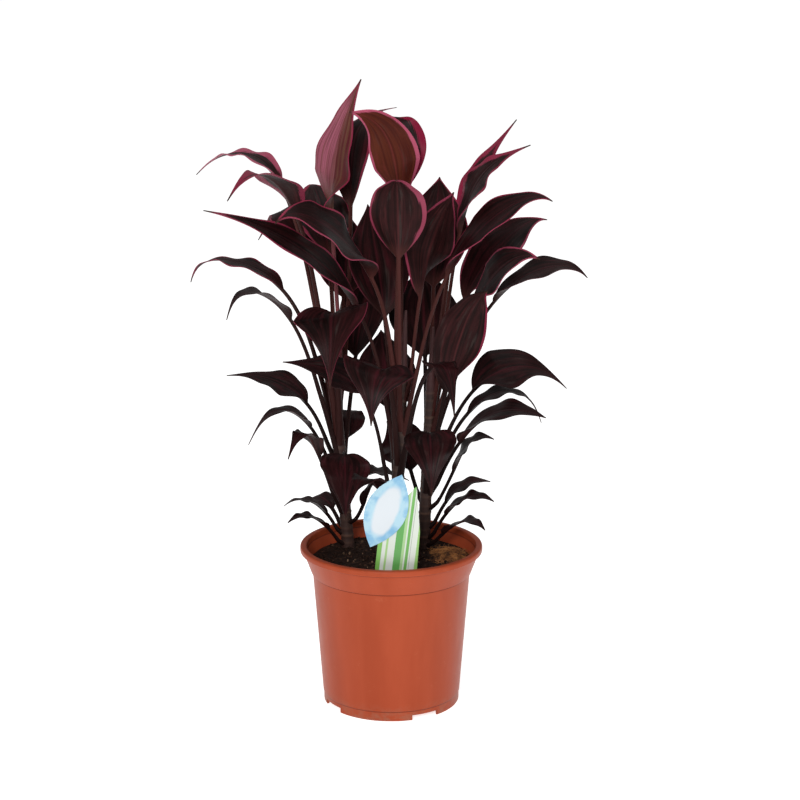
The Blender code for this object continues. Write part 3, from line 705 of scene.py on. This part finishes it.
def pot():
    under_lip = POT_HEIGHT - LIP_HEIGHT
    channel_in = DISH_RADIUS + CHANNEL_HEIGHT * 0.6
    ring_in = BASE_RADIUS - FOOT_RING
    floor = CHANNEL_HEIGHT + WALL
    profile = [
        (DISH_RADIUS, 0),
        (channel_in, CHANNEL_HEIGHT),
        (ring_in - CHANNEL_HEIGHT * 0.2, CHANNEL_HEIGHT),
        (ring_in, 0),
        (BASE_RADIUS - 2 * FOOT_STEP, 0),
        (BASE_RADIUS - FOOT_STEP, FOOT_STEP),
        (wall_radius(FOOT_BAND) - 2 * FOOT_STEP, FOOT_BAND - FOOT_STEP),
        (wall_radius(FOOT_BAND) - FOOT_STEP, FOOT_BAND),
        (BAND_FOOT_RADIUS - BAND_STEP, BAND_FOOT),
        (BAND_FOOT_RADIUS, BAND_FOOT),
        (BAND_TOP_RADIUS, under_lip),
        (RIM_RADIUS - LIP_ROUND * 0.4, under_lip),
        (RIM_RADIUS, under_lip + LIP_ROUND * 0.4),
        (RIM_RADIUS, POT_HEIGHT - LIP_ROUND),
        (RIM_RADIUS - LIP_ROUND * 0.3, POT_HEIGHT - LIP_ROUND * 0.3),
        (RIM_RADIUS - LIP_ROUND, POT_HEIGHT),
        (inner_radius(POT_HEIGHT) + LIP_ROUND / 2, POT_HEIGHT),
        (inner_radius(POT_HEIGHT), POT_HEIGHT - LIP_ROUND / 2),
        (inner_radius(under_lip), under_lip),
        (inner_radius(BAND_FOOT), BAND_FOOT),
        (inner_radius(floor + WALL), floor + WALL),
        (inner_radius(floor) - WALL, floor),
        (channel_in - WALL, floor),
        (DISH_RADIUS - WALL, WALL),
    ]
    piece = turned("pot_shell", profile, POT_SIDES)
    soften = piece.modifiers.new("soft edges", "BEVEL")
    soften.width = SOFT_EDGE
    soften.segments = 3
    soften.limit_method = "ANGLE"
    soften.angle_limit = math.radians(SOFT_EDGE_ANGLE)
    apply_modifiers(piece)
    for turn in NOTCH_TURNS:
        angle = math.radians(turn)
        across, along, height = NOTCH
        spot = (BASE_RADIUS * math.cos(angle), BASE_RADIUS * math.sin(angle), (height - MM) / 2)
        size = (across, along, height + MM)
        bpy.ops.mesh.primitive_cube_add(size=1, location=spot, rotation=(0, 0, angle), scale=size)
        cut_out(piece, bpy.context.object)
    for number in range(DRAINS):
        angle = 2 * math.pi * (number + 0.5) / DRAINS
        spot = (DRAIN_CIRCLE * math.cos(angle), DRAIN_CIRCLE * math.sin(angle), CHANNEL_HEIGHT)
        bpy.ops.mesh.primitive_cylinder_add(
            vertices=DRAIN_SIDES, radius=DRAIN_RADIUS, depth=12 * MM, location=spot
        )
        cut_out(piece, bpy.context.object)
    smooth(piece, 40)
    paint(piece, pot_plastic())
    return give(piece, "pot_plastic", "pot")


# Soil and coir


def soil_level(x, y):
    """The soil's low dome, before its crumbs."""
    middle = 1 - math.hypot(x, y) ** 2 / inner_radius(SOIL_TOP) ** 2
    return SOIL_TOP + SOIL_DOME * middle


def crumbled(x, y, edge):
    """How far crumbs and clods lift the soil at a place."""
    bumps = [
        height * noise.noise(Vector((x, y, layer)) * fineness) for layer, fineness, height in SOIL_BUMPS
    ]
    fade_in = min(1, (edge - math.hypot(x, y)) / (4 * MM) + 0.25)
    return sum(bumps) * MM * fade_in


def soil():
    floor = CHANNEL_HEIGHT + WALL + SOIL_GAP
    edge = inner_radius(SOIL_TOP) - SOIL_GAP
    sides = [
        (inner_radius(floor) - WALL - SOIL_GAP, floor),
        (inner_radius(floor + WALL) - 2 * SOIL_GAP, floor + WALL),
        (inner_radius(BAND_FOOT) - SOIL_GAP, BAND_FOOT),
    ]
    top = [(edge * (SOIL_RINGS - ring) / SOIL_RINGS, SOIL_TOP) for ring in range(SOIL_RINGS)]
    piece = turned("soil_plug", sides + top, SOIL_SIDES)
    for vertex in piece.data.vertices:
        if vertex.co.z > SOIL_TOP - SOIL_GAP:
            vertex.co.z = soil_level(vertex.co.x, vertex.co.y) + crumbled(vertex.co.x, vertex.co.y, edge)
    smooth(piece, 60)
    piece.data.attributes.new("tone", "FLOAT", "POINT")
    paint(piece, peat())
    return give(piece, "soil", "soil")


def crumbs(ground):
    """Loose crumbs of peat and a few paler chips, each half sunk in the soil."""
    chance = random.Random("crumbs of peat")
    reach = inner_radius(SOIL_TOP) - 3 * MM
    deselect()
    bpy.ops.mesh.primitive_ico_sphere_add(subdivisions=1, radius=1)
    pattern = bpy.context.object
    copies = []
    for _ in range(CRUMBS):
        angle, out = chance.uniform(0, 2 * math.pi), reach * math.sqrt(chance.random())
        x, y = out * math.cos(angle), out * math.sin(angle)
        size = chance.choice(CRUMB_SIZES) * MM
        copy = bpy.data.objects.new("crumb", pattern.data.copy())
        bpy.context.collection.objects.link(copy)
        hit, spot, _, _ = ground.ray_cast(Vector((x, y, POT_HEIGHT)), Vector((0, 0, -1)))
        copy.location = (x, y, (spot.z if hit else SOIL_TOP) + size * 0.25)
        copy.rotation_euler = [chance.uniform(0, TURN) for _ in range(3)]
        copy.scale = [size * chance.uniform(*stretch) for stretch in CRUMB_STRETCH]
        tone = copy.data.attributes.new("tone", "FLOAT", "POINT")
        shade = chance.random() ** 2
        for value in tone.data:
            value.value = shade
        copies.append(copy)
    bpy.data.objects.remove(pattern)
    piece = join(copies, "soil_crumbs")
    paint(piece, bpy.data.materials["peat"])
    return give(piece, "soil")


def coir():
    """A matted tuft: a low lumpy mound, and fibres that wind over it and stray off its edge."""
    base = SOIL_TOP + 0.5 * MM
    fibre = coir_fibre()
    deselect()
    bpy.ops.mesh.primitive_ico_sphere_add(subdivisions=5, radius=1)
    mound = named("coir_mound")
    for vertex in mound.data.vertices:
        ball = vertex.co.copy()
        spread = 1 + 0.22 * noise.noise(ball * 2.3)
        heap = max(ball.z, 0) * (0.75 + 0.5 * noise.noise(ball * 5.1)) + 0.1 * noise.noise(ball * 14)
        vertex.co.x = COIR_PLACE[0] + COIR_HALF[0] * ball.x * spread
        vertex.co.y = COIR_PLACE[1] + COIR_HALF[1] * ball.y * spread
        vertex.co.z = base + COIR_HEIGHT * heap * 0.8
    smooth(mound, 60)
    paint(mound, fibre)
    give(mound, "coir", "coir_tuft")
    chance = random.Random("coir fibres")
    threads = bpy.data.curves.new("coir_fibres", "CURVE")
    threads.dimensions = "3D"
    threads.bevel_depth = FIBRE_RADIUS
    threads.bevel_resolution = 0
    for _ in range(FIBRES):
        angle, out = chance.uniform(0, 2 * math.pi), math.sqrt(chance.random())
        heading, bend = chance.uniform(0, 2 * math.pi), chance.uniform(-0.5, 0.5)
        x = COIR_PLACE[0] + COIR_HALF[0] * out * math.cos(angle)
        y = COIR_PLACE[1] + COIR_HALF[1] * out * math.sin(angle)
        spline = threads.splines.new("POLY")
        spline.points.add(FIBRE_POINTS - 1)
        for point in spline.points:
            away = math.hypot((x - COIR_PLACE[0]) / COIR_HALF[0], (y - COIR_PLACE[1]) / COIR_HALF[1])
            swell = max(0, 1 - away * away)
            lift = COIR_HEIGHT * (0.65 * swell + 0.12) + chance.uniform(0, 0.9) * MM
            point.co = (x, y, base + lift, 1)
            heading += bend
            x += FIBRE_STEP * math.cos(heading)
            y += FIBRE_STEP * math.sin(heading)
    piece = bpy.data.objects.new("coir_fibres", threads)
    bpy.context.collection.objects.link(piece)
    only(piece)
    bpy.ops.object.convert(target="MESH")
    piece = named("coir_fibres")
    paint(piece, fibre)
    give(piece, "coir")


# Label


def plate(name, points, front, thickness, rounding=0.0):
    """A plate that faces -Y: a filled circle, moved to an outline in x and z and thickened."""
    deselect()
    bpy.ops.mesh.primitive_circle_add(vertices=len(points), radius=1, fill_type="NGON")
    piece = named(name)
    for vertex, (x, z) in zip(piece.data.vertices, points):
        vertex.co = (x * MM, front, z * MM)
    only(piece)
    bpy.ops.object.mode_set(mode="EDIT")
    bpy.ops.mesh.select_all(action="SELECT")
    if rounding:
        bpy.ops.mesh.bevel(offset=rounding, segments=5, affect="VERTICES")
        bpy.ops.mesh.select_all(action="SELECT")
    bpy.ops.mesh.extrude_region_move(TRANSFORM_OT_translate={"value": (0, thickness, 0)})
    bpy.ops.mesh.select_all(action="SELECT")
    bpy.ops.mesh.normals_make_consistent(inside=False)
    bpy.ops.object.mode_set(mode="OBJECT")
    edges = piece.modifiers.new("edges", "BEVEL")
    edges.width = CARD_EDGE
    edges.segments = 2
    edges.limit_method = "ANGLE"
    apply_modifiers(piece)
    smooth(piece, 30)
    return piece


def label():
    card = plate("label_stripes", CARD_OUTLINE, CARD_Y - CARD_THICK / 2, CARD_THICK, CARD_CORNER)
    paint(card, striped_card())
    give(card, "label_plastic", "label_card")
    lean = math.radians(HEAD_LEAN)
    outline = []
    for side in (1, -1):
        for step in range(HEAD_STEPS):
            along = -side * math.cos(math.pi * step / HEAD_STEPS) * HEAD_LENGTH / 2
            across = side * HEAD_WIDTH / 2 * (1 - (2 * along / HEAD_LENGTH) ** 2)
            x = HEAD_CENTRE[0] + across * math.cos(lean) + along * math.sin(lean)
            outline.append((x, HEAD_CENTRE[1] + along * math.cos(lean) - across * math.sin(lean)))
    head = plate("label_oval", outline, CARD_Y - CARD_THICK * 1.5 - SOIL_GAP, CARD_THICK)
    paint(head, oval_head())
    give(head, "label_blue", "label_head")


# Canes


def cane_axis(cane, height):
    """The cane's axis at a height in mm."""
    share = (height - cane.foot[2]) / (cane.top[2] - cane.foot[2])
    return Vector(cane.foot).lerp(Vector(cane.top), share) * MM


def cane_radius(cane, height):
    """The cane's radius in mm at a height in mm."""
    share = (height - cane.foot[2]) / (cane.top[2] - cane.foot[2])
    return cane.foot_radius + (cane.top_radius - cane.foot_radius) * clamped(share)


def cane_girth(cane, height):
    """The same with its scars, and drawn out along the furled leaf."""
    over = (height - cane.top[2]) / SPEAR
    if over > 0:
        return cane.top_radius + (SPEAR_TIP - cane.top_radius) * min(1, over) ** SPEAR_EASE
    scar = max(0, math.cos(2 * math.pi * height / SCAR_PITCH)) ** SCAR_SHAPE
    return cane_radius(cane, height) * (1 + SCAR_RIDGE * scar)


def cane_body(name, cane, bark):
    """A cane: a circle extruded along the leaning axis from ring to ring, capped at both ends."""
    height = cane.foot[2] - CANE_DEPTH
    girth = cane_girth(cane, height)
    at = cane_axis(cane, height)
    deselect()
    bpy.ops.mesh.primitive_circle_add(vertices=CANE_SIDES, radius=girth * MM, fill_type="NGON", location=at)
    piece = named(f"bark_{name}")
    bpy.ops.object.transform_apply(location=True)
    bpy.ops.object.mode_set(mode="EDIT")
    bpy.ops.mesh.select_all(action="SELECT")
    while height < cane.top[2] + SPEAR:
        height = min(height + CANE_RING, cane.top[2] + SPEAR)
        step = cane_axis(cane, height) - at
        at = at + step
        bpy.ops.mesh.extrude_region_move(TRANSFORM_OT_translate={"value": step})
        size = cane_girth(cane, height) / girth
        bpy.ops.transform.resize(value=(size, size, 1), center_override=at)
        girth *= size
    bpy.ops.mesh.select_all(action="SELECT")
    bpy.ops.mesh.normals_make_consistent(inside=False)
    bpy.ops.object.mode_set(mode="OBJECT")
    piece.data.attributes.new("scar", "FLOAT", "POINT")
    piece.data.attributes.new("spear", "FLOAT", "POINT")
    scars, spear = piece.data.attributes["scar"], piece.data.attributes["spear"]
    for vertex in piece.data.vertices:
        height = vertex.co.z / MM
        scars.data[vertex.index].value = max(0, math.cos(2 * math.pi * height / SCAR_PITCH)) ** SCAR_TINT
        spear.data[vertex.index].value = clamped((height - cane.top[2]) / SPEAR_BLUSH + 1)
    smooth(piece, 50)
    paint(piece, bark)
    give(piece, "cane_bark", f"cane_{name}")


# Leaves


def foot_distance(radius):
    """How far from a cane's axis a leaf starts, in mm."""
    fold = math.radians(FOLD_AT_STALK)
    across, up = STALK_FOOT_HALF * math.cos(fold), STALK_FOOT_HALF * math.sin(fold)
    return math.sqrt((radius + SOIL_GAP / MM) ** 2 - across**2) + up


def midrib(leaf):
    """The four control points of a midrib as (distance from the cane's axis, height), in mm."""
    cane = CANES[leaf.cane]
    axis = cane_axis(cane, leaf.foot) / MM
    start = foot_distance(cane_radius(cane, leaf.foot))
    reach = math.hypot(leaf.tip[0] - axis.x, leaf.tip[1] - axis.y)
    span = math.hypot(reach - start, leaf.tip[2] - leaf.foot)
    rise, dive = math.radians(leaf.rise), math.radians(leaf.dive)
    return [
        Vector((start, leaf.foot)),
        Vector((start + leaf.lift * span * math.cos(rise), leaf.foot + leaf.lift * span * math.sin(rise))),
        Vector((reach - leaf.run * span * math.cos(dive), leaf.tip[2] + leaf.run * span * math.sin(dive))),
        Vector((reach, leaf.tip[2])),
    ]


def curve_place(points, pull, t):
    """A place at t from 0 to 1 on a cubic curve that pull draws towards its two middle points."""
    s = 1 - t
    shares = (s**3, 3 * pull * s * s * t, 3 * pull * s * t * t, t**3)
    place = sum((point * share for point, share in zip(points, shares)), Vector((0, 0)))
    return place / sum(shares)


def on_curve(points, pull, t):
    """Place and direction on such a curve at t from 0 to 1."""
    ahead = curve_place(points, pull, min(1, t + T_STEP))
    behind = curve_place(points, pull, max(0, t - T_STEP))
    return curve_place(points, pull, t), (ahead - behind).normalized()


def half_width(leaf, t):
    """Half the leaf's width in mm at t: a clasping foot, a narrow stalk, then the pointed blade."""
    if t < leaf.stalk:
        foot = STALK_HALF + (STALK_FOOT_HALF - STALK_HALF) * (1 - t / leaf.stalk) ** 3
        clasp = max(0, 1 - t / SHEATH_SHARE) ** 1.5
        return foot + (SHEATH_HALF - STALK_FOOT_HALF) * clasp
    u = (t - leaf.stalk) / (1 - leaf.stalk)
    top = BLADE_RISE / (BLADE_RISE + BLADE_FALL)
    peak = top**BLADE_RISE * (1 - top) ** BLADE_FALL
    blade = (leaf.width / 2 - STALK_HALF) * u**BLADE_RISE * (1 - u) ** BLADE_FALL / peak
    return STALK_HALF + (TIP_HALF - STALK_HALF) * u + blade


def skin_lift(u, side, half, swing):
    """How far waves in the margin and pleats beside the rib lift the skin, in mm."""
    body = math.sin(math.pi * min(1, u * CALM_TIP)) if u > 0 else 0
    turns, first, second = swing
    phase = first if side > 0 else second
    wave = WAVE * abs(side) ** WAVE_EASE * math.sin(2 * math.pi * turns * u + phase)
    wave *= min(1, half / WAVE_HALF)
    pleat = RIPPLE * math.cos(2 * math.pi * PLEATS * abs(side)) * (1 - abs(side))
    pleat *= min(1, half / RIPPLE_HALF)
    return (wave + pleat) * body


def leaf_point(leaf, ribs, axis, heading, t, side, swing):
    """A point of the leaf's upper face in mm: t along the midrib, side from -1 to 1 across it."""
    place, along = on_curve(ribs, leaf.pull, t)
    u = max(0, (t - leaf.stalk) / (1 - leaf.stalk))
    fold = math.radians(FOLD_AT_TIP + (FOLD_AT_STALK - FOLD_AT_TIP) * (1 - u) ** FOLD_EASE)
    half = half_width(leaf, t)
    width = half * side
    gutter = GUTTER * min(1, half / GUTTER_HALF)
    rounded = math.hypot(width, gutter) - gutter
    across = width * math.cos(fold)
    up = rounded * math.sin(fold) + skin_lift(u, side, half, swing)
    roll = math.radians(leaf.roll) * min(1, ROLL_IN * u)
    across, up = (
        across * math.cos(roll) - up * math.sin(roll),
        across * math.sin(roll) + up * math.cos(roll),
    )
    sunk = SHEATH_SINK * max(0, 1 - 2 * t / SHEATH_SHARE)
    radius = place.x - along.y * up - sunk
    return Vector((
        axis.x + radius * math.cos(heading) - across * math.sin(heading),
        axis.y + radius * math.sin(heading) + across * math.cos(heading),
        place.y + along.x * up,
    ))


def leaf_thickness(u, half, side):
    """Thickness in mm: a stout stalk that thins into the blade, with the rib standing out under it."""
    into = min(1, 4 * u)
    blade = BLADE_THICK + RIB_THICK * (1 - u) ** 0.7 * math.exp(-((half * side / RIB_HALF) ** 2))
    stalk = STALK_THICK * (1 - 0.55 * side * side)
    return stalk + (blade - stalk) * into


def leaf_piece(leaf, skins):
    """One leaf: a grid laid along its midrib, with its facts as attributes, then given its thickness."""
    chance = random.Random("leaf " + leaf.name)
    axis = cane_axis(CANES[leaf.cane], leaf.foot) / MM
    heading = math.atan2(leaf.tip[1] - axis.y, leaf.tip[0] - axis.x)
    ribs = midrib(leaf)
    swing = (chance.uniform(*WAVES), chance.uniform(0, TURN), chance.uniform(0, TURN))
    young = clamped((leaf.foot - YOUNG_FROM) / YOUNG_OVER)
    margins = MARGINS.get(leaf.name, (MARGIN * young, MARGIN * young, 0.2))
    tone = chance.uniform(0, TONES)
    deselect()
    bpy.ops.mesh.primitive_grid_add(x_subdivisions=LENGTHWAYS, y_subdivisions=ACROSS, size=2)
    piece = named(f"blade_{leaf.name}")
    mesh = piece.data
    thickness = piece.vertex_groups.new(name="thickness")
    spots = []
    for vertex in mesh.vertices:
        t = (vertex.co.x + 1) / 2
        side = math.copysign(abs(vertex.co.y) ** SIDE_EASE, vertex.co.y)
        half = half_width(leaf, t)
        u = (t - leaf.stalk) / (1 - leaf.stalk)
        share = leaf_thickness(max(0, u), half, side) / (STALK_THICK + RIB_THICK)
        thickness.add([vertex.index], share, "REPLACE")
        spots.append((vertex.index, t, side, half, u))
    kinds = ("from_edge", "margin", "blush", "young", "rib", "stalk", "dry", "tone")
    for kind in kinds:
        mesh.attributes.new(kind, "FLOAT", "POINT")
    facts = {kind: mesh.attributes[kind] for kind in kinds}
    for index, t, side, half, u in spots:
        facts["from_edge"].data[index].value = half * (1 - abs(side))
        facts["margin"].data[index].value = margins[0 if side < 0 else 1] * clamped(6 * u)
        facts["blush"].data[index].value = margins[2]
        facts["young"].data[index].value = young
        facts["rib"].data[index].value = max(0, 1 - abs(half * side) / RIB_PAINT) * clamped(1.3 - u) * 0.8
        facts["stalk"].data[index].value = clamped(1 - 9 * u)
        facts["dry"].data[index].value = clamped((u - DRY_FROM) / DRY_OVER)
        facts["tone"].data[index].value = tone
        mesh.vertices[index].co = leaf_point(leaf, ribs, axis, heading, t, side, swing) * MM
    solid = piece.modifiers.new("thickness", "SOLIDIFY")
    solid.thickness = (STALK_THICK + RIB_THICK) * MM
    solid.vertex_group = "thickness"
    solid.offset = -1
    solid.material_offset = 1
    solid.material_offset_rim = 1
    kind = "red" if leaf.name in RED_LEAVES else "pale" if leaf.name in PALE_LEAVES else "dark"
    paint(piece, *skins[kind])
    apply_modifiers(piece)
    smooth(piece, 60)
    slot = "leaf_young" if leaf.name in YOUNG else "leaf_dark"
    give(piece, slot, f"leaf_{leaf.name}")


# Stage


def area_light(name, place, aim, size, power):
    """A square soft light at a place that looks at a point."""
    bpy.ops.object.light_add(type="AREA", location=place)
    light = bpy.context.object
    light.name = name
    light.data.shape = "SQUARE"
    light.data.size = size
    light.data.energy = power
    light.rotation_euler = (Vector(aim) - Vector(place)).to_track_quat("-Z", "Y").to_euler()


def stage():
    deselect()
    bpy.ops.mesh.primitive_plane_add(size=FLOOR_SIZE)
    floor = named("studio_floor")
    finish, tree, shader = new_finish("studio_floor", 0.9, 0.1)
    shader.inputs["Base Color"].default_value = colour(0.9, 0.9, 0.9)
    shader.inputs["Emission Color"].default_value = colour(1, 1, 1)
    shader.inputs["Emission Strength"].default_value = FLOOR_GLOW
    paint(floor, finish)
    world = bpy.data.worlds.new("studio")
    world.use_nodes = True
    world.node_tree.nodes["Background"].inputs["Color"].default_value = colour(1, 1, 1)
    world.node_tree.nodes["Background"].inputs["Strength"].default_value = WORLD_GLOW
    bpy.context.scene.world = world
    for light in LIGHTS:
        area_light(*light)
    bpy.context.scene.view_settings.view_transform = "Standard"


def camera():
    """At the photograph's viewing angle: 1.5 m in front, 0.6 m up, looking a little down."""
    bpy.ops.object.camera_add(location=CAMERA_PLACE, rotation=(math.radians(90 + CAMERA_PITCH), 0, 0))
    view = bpy.context.object
    view.data.lens = LENS
    view.data.sensor_width = SENSOR
    bpy.context.scene.camera = view


camera()
stage()
pot()
crumbs(soil())
coir()
label()
bark = cane_bark()
for cane_name, cane in CANES.items():
    cane_body(cane_name, cane, bark)
skins = leaf_skins()
for leaf in LEAVES:
    leaf_piece(leaf, skins)
